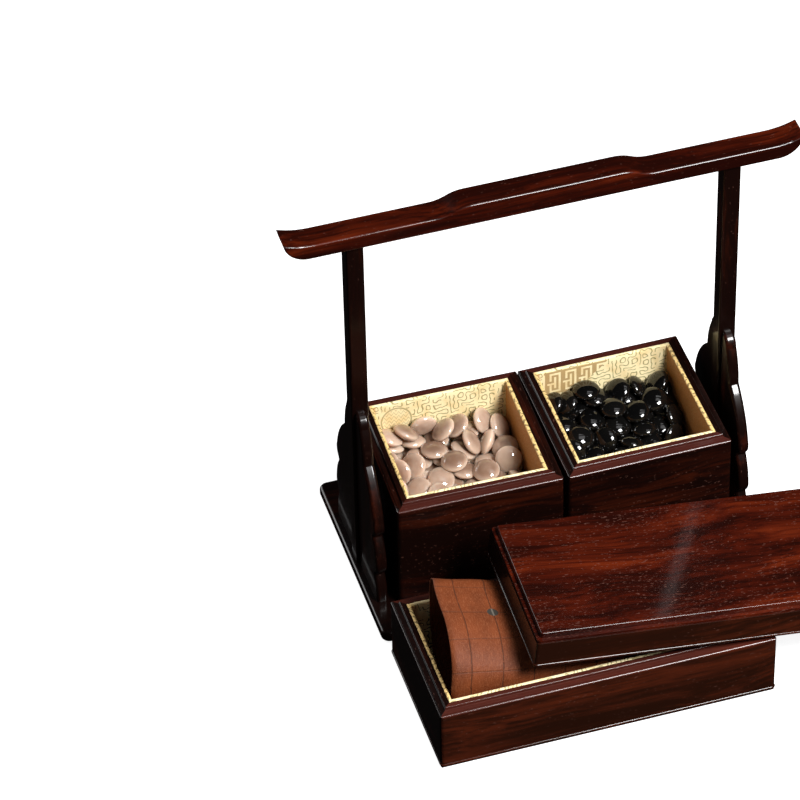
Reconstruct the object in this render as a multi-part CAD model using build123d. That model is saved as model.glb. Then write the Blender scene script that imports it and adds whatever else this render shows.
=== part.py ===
"""Carrying case for a strategy board game: a handled frame, two stone boxes, a tray and its lid.

Millimetres, +Z up. The origin is the centre of the base plate's underside, on the table.
The frame and its two boxes stand at the back; the tray, with the rolled leather board in
it, stands in front of them, and the lid leans on the roll and on the tray's right rim.
"""

from build123d import *
import math
import os

# Base plate, centred on the origin
BASE_LENGTH = 323.0
BASE_DEPTH = 184.0
BASE_THICKNESS = 9.0
BASE_CORNER_RADIUS = 7.0
BASE_EDGE_RADIUS = 3.0

# Posts and their tenons
POST_CENTRE_X = 150.8
POST_WIDTH = 14.0
POST_DEPTH = 14.3
POST_EDGE_RADIUS = 1.5
TENON_WIDTH = 8.0
TENON_DEPTH = 8.0
TENON_LENGTH = 6.0
TENON_PLAY = 0.05

# Handle beam, from its level underside
HANDLE_BOTTOM = 340.2
HANDLE_DEPTH = 22.5
HANDLE_THICKNESS = 13.1
HANDLE_HALF_LENGTH = 207.0
HANDLE_EDGE_RADIUS = 1.8
HUMP_RISE = 6.4
HUMP_INNER_X = 60.0
HUMP_OUTER_X = 88.0
SWEEP_START_X = 182.0
SWEEP_RISE = 4.9
END_ROUND_X = 187.0
END_ROUND_TOP = (205.6, 12.3)

# Standing spandrels: height above the plate, and the lobes of their outer outline
SPANDREL_THICKNESS = 9.0
SPANDREL_HEIGHT = 163.0
SPANDREL_FOOT = 55.0
SPANDREL_EDGE = 2.5
CUSP_RADIUS = 2.0

# Boxes, tray and lid share one wall section and one depth
WALL = 10.1
LINING = 3.3
FLOOR_LINING = 1.5
INNER_DEPTH = 111.3
BOX_INNER_LENGTH = 115.3
TRAY_INNER_LENGTH = 251.3
OUTER_CORNER_RADIUS = 3.0
LIP_WIDTH = 4.4
LIP_RISE = 2.2
LIP_ROUND = 0.8
LIP_SLOPE = 0.2
SHOULDER_END = 8.4
SHOULDER_FALL = 0.7
BEAD_STEP = 0.8
BEAD_RADIUS = 1.5
SOLE_INNER = 5.1
REBATE = 2.8
SOLE_ROUND = 2.2
GROOVE_DEPTH = 3.0
FLOOR_BOTTOM = 4.0
FLOOR_THICKNESS = 5.0
LINING_PROUD = 0.4
LINING_CHAMFER = 0.7
CUT_OVERSHOOT = 1.0

BOX_HEIGHT = 103.6
TRAY_HEIGHT = 60.1
BOX_LEFT_PLACE = (-69.6, 1.8, -1.3)
BOX_RIGHT_PLACE = (67.8, 0.0, 0.2)
TRAY_PLACE = (-22.5, -168.0, 0.0)

# Lid: rails, a moulded top board, and how it leans
LID_HEIGHT = 31.5
LID_BOARD = 7.2
LID_LEDGE_INSET = 0.8
LID_LEDGE = 2.4
LID_BOARD_INSET = 4.0
LID_BOARD_CORNER = 1.5
LID_BOARD_EDGE = 1.2
LID_TONGUE = 2.0
LID_TONGUE_PLAY = 0.1
LID_TILT = 6.15
LID_TURN = -1.9
LID_CORNER = (-82.0, -228.3, 81.1)

# Stones: a faceted double-convex disc
STONE_RADIUS = 11.0
STONE_THICKNESS = 9.0
STONE_SIDES = 10
STONE_LEVELS = (-0.87, -0.5, 0.0, 0.5, 0.87)
STONE_PITCH_X = 24.2
STONE_PITCH_Y = 20.4
STONE_ROWS = 5
STONE_COLUMNS = 4
BED_CLEARANCE = 0.3
BED_TOP = 43.0
HEAP_MIDDLE = (1.5, 2.5)
HEAP_STEPS = ((0.8, 3), (1.7, 2))

# Leather board, rolled loosely and pressed flat by the lid
ROLL_WALL = 5.0
ROLL_CENTRE_Y = -168.0
ROLL_UNDERSIDE = 11.1
# station along X, crest height, half width, squareness of the section, lean of its crest
ROLL_STATIONS = [
    (-140.0, 99.0, 49.0, 2.4, 0.20),
    (-118.0, 90.5, 50.2, 2.7, 0.16),
    (-94.0, 82.6, 51.5, 2.7, 0.02),
    (-83.0, 79.9, 51.5, 2.7, 0.0),
    (95.0, 76.0, 51.0, 2.7, 0.0),
]
ROLL_POINTS = 16


def outer_size(inner_length):
    """Outside length and depth of a box, the tray or the lid."""
    return inner_length + 2 * WALL, INNER_DEPTH + 2 * WALL


def base_plate():
    """Flat plate with rounded edges and a blind mortise for each post's foot tenon."""
    outline = RectangleRounded(BASE_LENGTH, BASE_DEPTH, BASE_CORNER_RADIUS)
    plate = extrude(outline, BASE_THICKNESS)
    rims = plate.faces().sort_by(Axis.Z)[0].edges() + plate.faces().sort_by(Axis.Z)[-1].edges()
    plate = fillet(rims, BASE_EDGE_RADIUS)
    for side in (-1, 1):
        mortise = Box(TENON_WIDTH + 2 * TENON_PLAY, TENON_DEPTH + 2 * TENON_PLAY, TENON_LENGTH)
        plate -= Pos(side * POST_CENTRE_X, 0, BASE_THICKNESS - TENON_LENGTH / 2) * mortise
    return plate


def post(side):
    """Square post with eased edges and a tenon at each end."""
    length = HANDLE_BOTTOM - BASE_THICKNESS
    shaft = Pos(0, 0, length / 2) * Box(POST_WIDTH, POST_DEPTH, length)
    shaft = fillet(shaft.edges().filter_by(Axis.Z), POST_EDGE_RADIUS)
    tenon_reach = TENON_LENGTH - TENON_PLAY
    tenons = Box(TENON_WIDTH, TENON_DEPTH, length + 2 * tenon_reach)
    return Pos(side * POST_CENTRE_X, 0, BASE_THICKNESS) * (shaft + Pos(0, 0, length / 2) * tenons)


def s_curve(start, end):
    """Two equal arcs from one level to another, level at both ends."""
    middle = ((start[0] + end[0]) / 2, (start[1] + end[1]) / 2)
    slope = 2 * math.atan2(end[1] - start[1], end[0] - start[0])
    return [
        TangentArc(start, middle, tangent=(1, 0)),
        TangentArc(middle, end, tangent=(math.cos(slope), math.sin(slope))),
    ]


def handle_half():
    """Side outline of the handle's right half: hump, level stretch and swept-up end."""
    top = HANDLE_THICKNESS
    high = HANDLE_THICKNESS + HUMP_RISE
    tip = (HANDLE_HALF_LENGTH, top + SWEEP_RISE)
    curves = [Line((0, 0), (0, high)), Line((0, high), (HUMP_INNER_X, high))]
    curves += s_curve((HUMP_INNER_X, high), (HUMP_OUTER_X, top))
    curves += [
        Line((HUMP_OUTER_X, top), (SWEEP_START_X, top)),
        TangentArc((SWEEP_START_X, top), tip, tangent=(1, 0)),
        Line(tip, END_ROUND_TOP),
        TangentArc((END_ROUND_X, 0), END_ROUND_TOP, tangent=(1, 0)),
        Line((END_ROUND_X, 0), (0, 0)),
    ]
    return make_face(curves)


def handle_beam():
    """Beam with a raised grip, swept-up ends, eased edges and a mortise for each post."""
    half = extrude(Plane.XZ * handle_half(), HANDLE_DEPTH / 2, both=True)
    beam = half + mirror(half, Plane.YZ)
    faces = beam.faces().filter_by(Axis.Y)
    beam = fillet([edge for face in faces for edge in face.edges()], HANDLE_EDGE_RADIUS)
    for side in (-1, 1):
        mortise = Box(TENON_WIDTH + 2 * TENON_PLAY, TENON_DEPTH + 2 * TENON_PLAY, TENON_LENGTH)
        beam -= Pos(side * POST_CENTRE_X, 0, TENON_LENGTH / 2) * mortise
    return Pos(0, 0, HANDLE_BOTTOM) * beam


def spandrel(side, front):
    """Standing spandrel: a board whose outer edge falls to the plate in rounded lobes."""
    root = POST_DEPTH / 2
    lobes = [
        ((root, SPANDREL_HEIGHT), (14.5, 160.5), (18.5, 153.0)),
        ((18.5, 153.0), (24.5, 138.0), (26.5, 122.0)),
        ((26.5, 122.0), (43.5, 101.8), (52.0, 81.0)),
        ((52.0, 81.0), (51.8, 71.0), (46.5, 66.2)),
        ((46.5, 66.2), (53.5, 53.5), (56.4, 40.0)),
        ((56.4, 40.0), (54.5, 32.0), (49.0, 28.0)),
        ((49.0, 28.0), (54.0, 16.0), (SPANDREL_FOOT, 0.0)),
    ]
    curves = [Line((root, 0), (root, SPANDREL_HEIGHT))]
    curves += [ThreePointArc(*lobe) for lobe in lobes]
    curves += [Line((SPANDREL_FOOT, 0), (root, 0))]
    outline = make_face(curves)
    cusps = [v for v in outline.vertices() if v.X > root + 1 and v.Y > 1]
    outline = fillet(cusps, CUSP_RADIUS)
    board = extrude(Plane.YZ * outline, SPANDREL_THICKNESS / 2, both=True)
    edges = [edge for face in board.faces().filter_by(Axis.X) for edge in face.edges()]
    free = [e for e in edges if e.center().Y > root + 0.01 and e.center().Z > 0.01]
    board = fillet(free, SPANDREL_EDGE)
    if front:
        board = mirror(board, Plane.XZ)
    return Pos(side * POST_CENTRE_X, 0, BASE_THICKNESS) * board


def rim_curves(height):
    """Section of the stacking rim, from the outer face in to the wall's inner face."""
    shoulder_top = height - LIP_RISE
    shoulder_low = shoulder_top - SHOULDER_FALL
    bead_top = shoulder_low - BEAD_STEP
    bead_side = bead_top - BEAD_RADIUS
    bead_turn = BEAD_RADIUS * math.sqrt(0.5)
    bead_middle = (WALL - BEAD_RADIUS + bead_turn, bead_side + bead_turn)
    lip_foot = LIP_WIDTH + LIP_SLOPE
    return [
        ThreePointArc((WALL, bead_side), bead_middle, (WALL - BEAD_RADIUS, bead_top)),
        Line((WALL - BEAD_RADIUS, bead_top), (SHOULDER_END, shoulder_low)),
        Line((SHOULDER_END, shoulder_low), (lip_foot, shoulder_top)),
        Line((lip_foot, shoulder_top), (LIP_WIDTH, height - LIP_ROUND)),
        TangentArc((LIP_WIDTH, height - LIP_ROUND), (LIP_WIDTH - LIP_ROUND, height), tangent=(0, 1)),
        Line((LIP_WIDTH - LIP_ROUND, height), (0, height)),
    ], bead_side


def foot_curves():
    """Section of the wall's foot, from the inner face out: rebate, sole and rounded edge."""
    return [
        Line((0, REBATE), (SOLE_INNER, REBATE)),
        Line((SOLE_INNER, REBATE), (SOLE_INNER, 0)),
        Line((SOLE_INNER, 0), (WALL - SOLE_ROUND, 0)),
        TangentArc((WALL - SOLE_ROUND, 0), (WALL, SOLE_ROUND), tangent=(1, 0)),
    ]


def groove_curves(height):
    """Inner face, from its top down, with the groove that holds the floor board."""
    groove_top = FLOOR_BOTTOM + FLOOR_THICKNESS
    return [
        Line((0, height), (0, groove_top)),
        Line((0, groove_top), (GROOVE_DEPTH, groove_top)),
        Line((GROOVE_DEPTH, groove_top), (GROOVE_DEPTH, FLOOR_BOTTOM)),
        Line((GROOVE_DEPTH, FLOOR_BOTTOM), (0, FLOOR_BOTTOM)),
        Line((0, FLOOR_BOTTOM), (0, REBATE)),
    ]


def tier_section(height):
    """Section of a box or tray wall; x runs outward from the wall's inner face."""
    rim, bead_side = rim_curves(height)
    outer_face = [Line((WALL, SOLE_ROUND), (WALL, bead_side))]
    return make_face(rim + groove_curves(height) + foot_curves() + outer_face)


def rail_section(height):
    """Section of a lid rail: a plain top under the board and the same foot as a wall."""
    top = [
        Line((0, height), (WALL, height)),
        Line((0, REBATE), (0, height)),
        Line((WALL, SOLE_ROUND), (WALL, height)),
    ]
    return make_face(top + foot_curves())


def mitred_walls(section, inner_length, inner_depth, height):
    """Four mitred walls round a rectangle, carried along its sides from one section."""
    outer = RectangleRounded(inner_length + 2 * WALL, inner_depth + 2 * WALL, OUTER_CORNER_RADIUS)
    envelope = extrude(outer, height + CUT_OVERSHOOT)
    walls = {}
    turns = {"front": 0, "right": 90, "back": 180, "left": 270}
    for name, turn in turns.items():
        along, across = (inner_length, inner_depth)
        if name in ("left", "right"):
            along, across = across, along
        reach = along / 2 + WALL
        plane = Plane(origin=(0, -across / 2, 0), x_dir=(0, -1, 0), z_dir=(-1, 0, 0))
        bar = extrude(plane * section, reach, both=True)
        corners = [
            (-along / 2, -across / 2),
            (along / 2, -across / 2),
            (reach, -across / 2 - WALL),
            (-reach, -across / 2 - WALL),
        ]
        mitre = extrude(make_face(Polyline(*corners, close=True)), height + CUT_OVERSHOOT)
        walls[name] = (Rot(0, 0, turn) * (bar & mitre)) & envelope
    return walls


def tier(inner_length, height, place):
    """A box or the tray: four walls, a floor board in their groove, and two linings."""
    x, y, turn = place
    seat = Pos(x, y, 0) * Rot(0, 0, turn)
    pieces = {}
    for name, wall in mitred_walls(tier_section(height), inner_length, INNER_DEPTH, height).items():
        pieces[name + "_wall"] = seat * wall
    floor_top = FLOOR_BOTTOM + FLOOR_THICKNESS
    floor = Box(inner_length + 2 * GROOVE_DEPTH, INNER_DEPTH + 2 * GROOVE_DEPTH, FLOOR_THICKNESS)
    pieces["floor"] = seat * Pos(0, 0, FLOOR_BOTTOM + FLOOR_THICKNESS / 2) * floor
    floor_lining = Box(inner_length, INNER_DEPTH, FLOOR_LINING)
    pieces["floor_lining"] = seat * Pos(0, 0, floor_top + FLOOR_LINING / 2) * floor_lining
    rim = height + LINING_PROUD
    bottom = floor_top + FLOOR_LINING
    sleeve = Box(inner_length, INNER_DEPTH, rim - bottom)
    sleeve -= Box(inner_length - 2 * LINING, INNER_DEPTH - 2 * LINING, rim)
    sleeve = Pos(0, 0, (rim + bottom) / 2) * sleeve
    top_edges = sleeve.faces().sort_by(Axis.Z)[-1].edges()
    pieces["wall_lining"] = seat * chamfer(top_edges, LINING_CHAMFER)
    return pieces


def stone():
    """Double-convex disc with flat facets, lying level with its underside at z = 0."""
    half = STONE_THICKNESS / 2
    bulge = (STONE_RADIUS**2 + half**2) / (2 * half)
    rings = []
    for level in STONE_LEVELS:
        radius = math.sqrt(bulge**2 - (bulge - half + abs(level) * half) ** 2)
        rings.append(polygon_points(radius, half * (1 + level)))
    facets = [rings[0], rings[-1]]
    for low, high in zip(rings, rings[1:]):
        for side in range(STONE_SIDES):
            after = (side + 1) % STONE_SIDES
            facets.append([low[side], low[after], high[after], high[side]])
    faces = [make_face(Polyline(*facet, close=True)) for facet in facets]
    return Pos(0, 0, -rings[0][0][2]) * Solid(Shell(faces))


def polygon_points(radius, height):
    """Corners of a level regular polygon."""
    turns = [2 * math.pi * side / STONE_SIDES for side in range(STONE_SIDES)]
    return [(radius * math.cos(turn), radius * math.sin(turn), height) for turn in turns]


def heap_height(column, row):
    """How many stones lie on one spot of the bed: more towards the middle of the back."""
    across = (row - HEAP_MIDDLE[1]) * STONE_PITCH_Y / STONE_PITCH_X
    away = math.hypot(column - HEAP_MIDDLE[0], across)
    return next((count for reach, count in HEAP_STEPS if away < reach), 1)


def stone_heap(place, seat_height):
    """Stones on a staggered grid over a bed, and the bed that stands for those below."""
    x, y, turn = place
    seat = Pos(x, y, seat_height) * Rot(0, 0, turn)
    one = stone()
    stones = []
    for row in range(STONE_ROWS):
        stagger = STONE_PITCH_X / 4 * (1 if row % 2 else -1)
        for column in range(STONE_COLUMNS):
            along = (column - (STONE_COLUMNS - 1) / 2) * STONE_PITCH_X + stagger
            across = (row - (STONE_ROWS - 1) / 2) * STONE_PITCH_Y
            for level in range(heap_height(column, row)):
                height = BED_TOP + level * STONE_THICKNESS * STONE_LEVELS[-1]
                stones.append(seat * Pos(along, across, height) * one)
    bed_bottom = FLOOR_BOTTOM + FLOOR_THICKNESS + FLOOR_LINING
    bed = Box(
        BOX_INNER_LENGTH - 2 * LINING - 2 * BED_CLEARANCE,
        INNER_DEPTH - 2 * LINING - 2 * BED_CLEARANCE,
        BED_TOP - bed_bottom,
    )
    return stones, seat * Pos(0, 0, (BED_TOP + bed_bottom) / 2) * bed


def roll_section(x, crest, half_width, squareness, lean, inset):
    """Squared-off oval across the roll at one station, leaning with its crest."""
    half_height = (crest - ROLL_UNDERSIDE) / 2
    middle = ROLL_UNDERSIDE + half_height
    points = []
    for index in range(ROLL_POINTS):
        angle = 2 * math.pi * (index + 0.5) / ROLL_POINTS
        cos, sin = math.cos(angle), math.sin(angle)
        across = math.copysign(abs(cos) ** (2 / squareness), cos) * (half_width - inset)
        rise = math.copysign(abs(sin) ** (2 / squareness), sin) * (half_height - inset)
        rise += lean * across * max(0.0, sin)
        points.append((x, ROLL_CENTRE_Y + across, middle + rise))
    return make_face(Spline(*points, periodic=True))


def board_roll():
    """Rolled leather: a long oval sleeve, open at both ends, flared at its free left end."""
    outer = loft([roll_section(*station, 0.0) for station in ROLL_STATIONS], ruled=True)
    inner = loft([roll_section(*station, ROLL_WALL) for station in ROLL_STATIONS], ruled=True)
    return outer - inner


def lid():
    """Four mitred rails under a moulded top board, leaning as it was set down."""
    rail_height = LID_HEIGHT - LID_BOARD
    section = rail_section(rail_height)
    length, depth = outer_size(TRAY_INNER_LENGTH)
    seat = Pos(*LID_CORNER) * Rot(0, LID_TILT, 0) * Rot(0, 0, LID_TURN) * Pos(length / 2, depth / 2, 0)
    walls = mitred_walls(section, TRAY_INNER_LENGTH, INNER_DEPTH, rail_height)
    pieces = {name + "_rail": seat * wall for name, wall in walls.items()}
    pieces["top_board"] = seat * Pos(0, 0, rail_height) * lid_board(length, depth)
    return pieces


def lid_board(length, depth):
    """Top board: a moulded ledge round its edge, and a tongue that seats inside the rails."""
    ledge_in, board_in, play = 2 * LID_LEDGE_INSET, 2 * LID_BOARD_INSET, 2 * LID_TONGUE_PLAY
    ledge = RectangleRounded(length - ledge_in, depth - ledge_in, OUTER_CORNER_RADIUS)
    upper = RectangleRounded(length - board_in, depth - board_in, LID_BOARD_CORNER)
    upper = extrude(upper, LID_BOARD - LID_LEDGE)
    upper = fillet(upper.faces().sort_by(Axis.Z)[-1].edges(), LID_BOARD_EDGE)
    tongue = Box(TRAY_INNER_LENGTH - play, INNER_DEPTH - play, LID_TONGUE)
    return extrude(ledge, LID_LEDGE) + Pos(0, 0, LID_LEDGE) * upper + Pos(0, 0, -LID_TONGUE / 2) * tongue


def write(name, shape):
    """One closed piece, or a group of like pieces, to its own file."""
    export_step(shape, f"parts/{name}.step")


def main():
    """Build every piece and write it."""
    os.makedirs("parts", exist_ok=True)
    write("base_plate", base_plate())
    write("handle_beam", handle_beam())
    for side, side_name in ((-1, "left"), (1, "right")):
        write(f"{side_name}_post", post(side))
        write(f"{side_name}_front_spandrel", spandrel(side, True))
        write(f"{side_name}_back_spandrel", spandrel(side, False))
    boxes = (
        ("left_box", BOX_LEFT_PLACE, "white_stone"),
        ("right_box", BOX_RIGHT_PLACE, "black_stone"),
    )
    for name, place, stone_name in boxes:
        for piece, shape in tier(BOX_INNER_LENGTH, BOX_HEIGHT, place).items():
            write(f"{name}_{piece}", Pos(0, 0, BASE_THICKNESS) * shape)
        stones, bed = stone_heap(place, BASE_THICKNESS)
        write(f"{stone_name}s", Compound(stones))
        write(f"{stone_name}_bed", bed)
    for piece, shape in tier(TRAY_INNER_LENGTH, TRAY_HEIGHT, TRAY_PLACE).items():
        write(f"tray_{piece}", shape)
    for piece, shape in lid().items():
        write(f"lid_{piece}", shape)
    write("leather_board_roll", board_roll())


main()
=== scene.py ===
import math

import bpy
import numpy as np
from bpy.props import FloatProperty, FloatVectorProperty, IntProperty, PointerProperty
from mathutils import Matrix, Vector


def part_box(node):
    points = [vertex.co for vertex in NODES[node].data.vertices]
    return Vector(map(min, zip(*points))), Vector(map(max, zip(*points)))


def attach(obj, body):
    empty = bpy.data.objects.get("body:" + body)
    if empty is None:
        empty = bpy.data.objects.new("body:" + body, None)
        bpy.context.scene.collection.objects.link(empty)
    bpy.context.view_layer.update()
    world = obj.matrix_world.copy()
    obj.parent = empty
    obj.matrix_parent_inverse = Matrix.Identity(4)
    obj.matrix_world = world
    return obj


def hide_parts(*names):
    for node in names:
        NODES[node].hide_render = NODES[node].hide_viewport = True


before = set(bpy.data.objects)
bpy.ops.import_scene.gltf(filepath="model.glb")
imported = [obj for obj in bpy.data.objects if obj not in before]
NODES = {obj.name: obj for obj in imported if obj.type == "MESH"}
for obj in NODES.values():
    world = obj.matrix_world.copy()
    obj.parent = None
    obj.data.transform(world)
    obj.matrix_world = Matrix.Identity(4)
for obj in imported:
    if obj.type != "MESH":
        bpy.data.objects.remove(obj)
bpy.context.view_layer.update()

bl_info = {
    "name": "Game Board Carrying Case",
    "version": (1, 0, 0),
    "blender": (4, 5, 0),
    "location": "View3D > Sidebar > Carrying Case",
    "description": "Dresses a handled frame, its stone boxes, and the tray with the rolled leather board",
    "category": "Object",
}

MM = 0.001

# Openings of the boxes and of the tray, the walls round them, and how the boxes are turned
BOX_INNER = (115.3 * MM, 111.3 * MM)
TRAY_INNER = (251.3 * MM, 111.3 * MM)
WALL = 10.1 * MM
CORNER = 3.0 * MM
RIM_STEP = 5.3 * MM
LEFT_BOX_TURN = math.radians(-1.3)
RIGHT_BOX_TURN = math.radians(0.2)

# Depth of a lining from the wood's face to its own, how far it swells between its edges, and
# the angle from which an edge of a pad is sharp
LINING_DEPTH = 3.0 * MM
LINING_SWELL = 0.3 * MM
SHARP_ANGLE = math.radians(50)

# The lid's lowest corner, and how it leans and is turned about it
LID_CORNER = (-82.0 * MM, -228.3 * MM, 81.1 * MM)
LID_TILT = math.radians(6.15)
LID_TURN = math.radians(-1.9)

# Bead round each foot: its radius, how far its centre lies outside the wall, and its height
BEAD_RADIUS = 1.3 * MM
BEAD_OUT = -0.6 * MM
BEAD_HEIGHT, LID_BEAD_HEIGHT = 3.3 * MM, 1.8 * MM

# The roll's outer section in millimetres: place along X, crest, half width, squareness, lean
ROLL_STATIONS = np.array([
    (-140.0, 100.0, 50.5, 2.5, 0.16),
    (-118.0, 92.0, 51.0, 2.7, 0.10),
    (-94.0, 84.0, 51.5, 2.9, 0.09),
    (-83.5, 80.6, 51.5, 2.9, 0.05),
    (-76.0, 79.2, 51.5, 2.9, 0.0),
    (95.0, 76.0, 51.0, 2.7, 0.0),
])
ROLL_UNDERSIDE = 11.1
ROLL_MIDDLE_Y = -168.0
ROLL_ENDS = (-143.5, 97.6)
# The top back corner is the squarest. The sheet's left edge is drawn in by the skew times the
# share at its angle in degrees, and from the second turn on by the retreat for each half turn
BACK_SQUARENESS = 6.0
SKEW, SKEW_ANGLES, SKEW_SHARES = 12.5, (0, 60, 170, 230, 330, 360), (1, 1, 0, 0, 1, 1)
INNER_RETREAT = 6.0
# One printed line lies at this angle on every section, this far along the sheet
LINE_ANGLE, LINE_REACH = math.radians(150), 172.0

# Power of the cosine that shapes a stone's height; 1 would be an ellipsoid
STONE_POWER = 1.15

# Darkest and lightest colour of the stones, and the paler colour painted at their rims as light glowing
# through the thin edge
WHITE_AGATE = ((0.20, 0.115, 0.075), (0.46, 0.33, 0.25), (0.72, 0.55, 0.43))
BLACK_AGATE = ((0.002, 0.002, 0.002), (0.004, 0.0037, 0.0035), (0.006, 0.005, 0.004))

# Frames that the stones take to fall and come to rest, and the slope that they are left at
FALL_FRAMES = 150
HEAP_SLOPE = math.radians(9)

# The place that the softboxes turn towards, and each of them as its azimuth from the front,
# elevation, distance, side and share of the key's power
LIT_PLACE = (0.0, -0.06, 0.12)
SOFTBOXES = {
    "key_softbox": (28, 50, 1.7, 0.55, 1.0),
    "top_softbox": (70, 70, 1.8, 0.9, 0.08),
    "back_softbox": (215, 16, 2.0, 1.0, 0.3),
}
# The world's strength where it lights the object, where it is mirrored and where it is seen
WORLD_LIGHT, WORLD_MIRRORED, WORLD_SEEN = 0.11, 0.005, 1.06

# The camera fitted to the photo: yaw, pitch and roll, lens, and its place across and above
CAMERA_TURN = tuple(math.radians(angle) for angle in (-15.9912, 42.5904, -1.4997))
CAMERA_LENS = 219.8115
CAMERA_ACROSS, CAMERA_ABOVE = -0.114632, 0.098723


# ---------------------------------------------------------------- meshes


def mesh_piece(name, points, faces, uvs=None):
    """An object from an array of points and arrays of faces that index it, smooth, at the origin.

    Each array in faces has one row per face; uvs has one pair per corner, in the same order.
    """
    mesh = bpy.data.meshes.new(name)
    corners = np.concatenate([array.ravel() for array in faces])
    sizes = np.concatenate([np.full(len(array), array.shape[1]) for array in faces])
    starts = np.concatenate([[0], np.cumsum(sizes)[:-1]])
    mesh.vertices.add(len(points))
    mesh.vertices.foreach_set("co", np.asarray(points, np.float32).ravel())
    mesh.loops.add(len(corners))
    mesh.loops.foreach_set("vertex_index", corners.astype(np.int32))
    mesh.polygons.add(len(sizes))
    mesh.polygons.foreach_set("loop_start", starts.astype(np.int32))
    mesh.polygons.foreach_set("use_smooth", np.ones(len(sizes), bool))
    if uvs is not None:
        mesh.uv_layers.new(name="UVMap").data.foreach_set("uv", np.asarray(uvs, np.float32).ravel())
    mesh.update(calc_edges=True)
    mesh.validate()
    piece = bpy.data.objects.new(name, mesh)
    bpy.context.scene.collection.objects.link(piece)
    return piece


def grid_faces(rows, columns, wrap_rows=False, wrap_columns=False):
    """Quads of a grid, each joining a cell's four corners; a wrapped way joins last to first."""
    index = np.arange(rows * columns).reshape(rows, columns)
    if wrap_rows:
        index = np.concatenate([index, index[:1]], 0)
    if wrap_columns:
        index = np.concatenate([index, index[:, :1]], 1)
    cells = [index[:-1, :-1], index[1:, :-1], index[1:, 1:], index[:-1, 1:]]
    return np.stack(cells, -1).reshape(-1, 4)


def grid_uvs(pattern):
    """Texture places of every quad corner, from a grid of them with one more row and column."""
    rows, columns = pattern.shape[:2]
    return pattern.reshape(-1, 2)[grid_faces(rows, columns).ravel()]


def outward(piece):
    """Turns a closed piece's faces to point outwards: a negative signed volume flips them all."""
    mesh = piece.data
    mesh.calc_loop_triangles()
    points = np.zeros(len(mesh.vertices) * 3)
    mesh.vertices.foreach_get("co", points)
    points = points.reshape(-1, 3)
    triangles = np.zeros(len(mesh.loop_triangles) * 3, int)
    mesh.loop_triangles.foreach_get("vertices", triangles)
    a, b, c = (points[triangles.reshape(-1, 3)[:, k]] for k in range(3))
    if (a * np.cross(b, c)).sum() < 0:
        mesh.flip_normals()
    return piece


def add_values(piece, name, values):
    """One number for each point of a piece, under that name."""
    made = piece.data.attributes.new(name, "FLOAT", "POINT")
    made.data.foreach_set("value", values.astype(np.float32))


def finish_piece(piece, material, body, slot_name, *nodes):
    """Gives a piece its material and body, and hides the CAD nodes that it stands for; the slot name is
    not used.
    """
    piece.data.materials.append(material)
    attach(piece, body)
    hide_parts(*nodes)


def place_of(node):
    """Centre of a node's box, level with its underside."""
    low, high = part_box(node)
    return Vector(((low.x + high.x) / 2, (low.y + high.y) / 2, low.z))


# ---------------------------------------------------------------- materials


class Nodes:
    """A node tree with short calls that add a node, set or link its inputs, and return it."""

    def __init__(self, tree):
        self.tree = tree

    def add(self, kind, inputs=None, **settings):
        made = self.tree.nodes.new(kind)
        for name, value in settings.items():
            setattr(made, name, value)
        self.fill(made, inputs or {})
        return made

    def fill(self, node, values):
        for name, value in values.items():
            self.feed(node.inputs[name], value)

    def feed(self, socket, value):
        if isinstance(value, bpy.types.NodeSocket):
            self.tree.links.new(value, socket)
        else:
            socket.default_value = value

    def math(self, operation, *values):
        made = self.add("ShaderNodeMath", dict(enumerate(values)), operation=operation)
        return made.outputs[0]

    def times(self, first, second):
        return self.math("MULTIPLY", first, second)

    def minus(self, first, second):
        return self.math("SUBTRACT", first, second)

    def apart(self, first, second):
        return self.math("ABSOLUTE", self.minus(first, second))

    def vector(self, operation, *values):
        made = self.add("ShaderNodeVectorMath", dict(enumerate(values)), operation=operation)
        return made.outputs["Value" if operation in ("LENGTH", "DISTANCE") else "Vector"]

    def attribute(self, name):
        return self.add("ShaderNodeAttribute", attribute_name=name).outputs["Fac"]

    def parts(self, vector):
        return self.add("ShaderNodeSeparateXYZ", {"Vector": vector}).outputs

    def noise(self, vector, scale, detail=2.0, roughness=0.5):
        inputs = {"Vector": vector, "Scale": scale, "Detail": detail, "Roughness": roughness}
        return self.add("ShaderNodeTexNoise", inputs).outputs["Fac"]

    def stretched(self, vector, scales, detail=2.0, roughness=0.5):
        """Noise over a vector whose parts are each multiplied by a scale of their own."""
        return self.noise(self.vector("MULTIPLY", vector, scales), 1.0, detail, roughness)

    def step(self, value, low, high):
        """Smooth rise from 0 at low to 1 at high; it falls where low is the larger."""
        inputs = {"Value": value, "From Min": low, "From Max": high}
        return self.add("ShaderNodeMapRange", inputs, interpolation_type="SMOOTHSTEP").outputs[0]

    def blend(self, factor, first, second):
        made = self.add("ShaderNodeMix", data_type="RGBA")
        self.feed(made.inputs[0], factor)
        self.feed(made.inputs[6], first)
        self.feed(made.inputs[7], second)
        return made.outputs[2]

    def bump(self, height, distance, strength):
        inputs = {"Height": height, "Distance": distance, "Strength": strength}
        return self.add("ShaderNodeBump", inputs).outputs["Normal"]


def new_group(name, inputs, outputs):
    """An empty node group with its sockets, as (group, nodes, input sockets, output sockets)."""
    group = bpy.data.node_groups.new(name, "ShaderNodeTree")
    for way, sockets in (("INPUT", inputs), ("OUTPUT", outputs)):
        for socket, kind in sockets.items():
            group.interface.new_socket(socket, in_out=way, socket_type=kind)
    nodes = Nodes(group)
    return group, nodes, nodes.add("NodeGroupInput").outputs, nodes.add("NodeGroupOutput").inputs


VECTOR, FLOAT, COLOUR = "NodeSocketVector", "NodeSocketFloat", "NodeSocketColor"
WOOD_TONES = ("Dark", "Light", "Ember", "Pore Colour")


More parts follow.
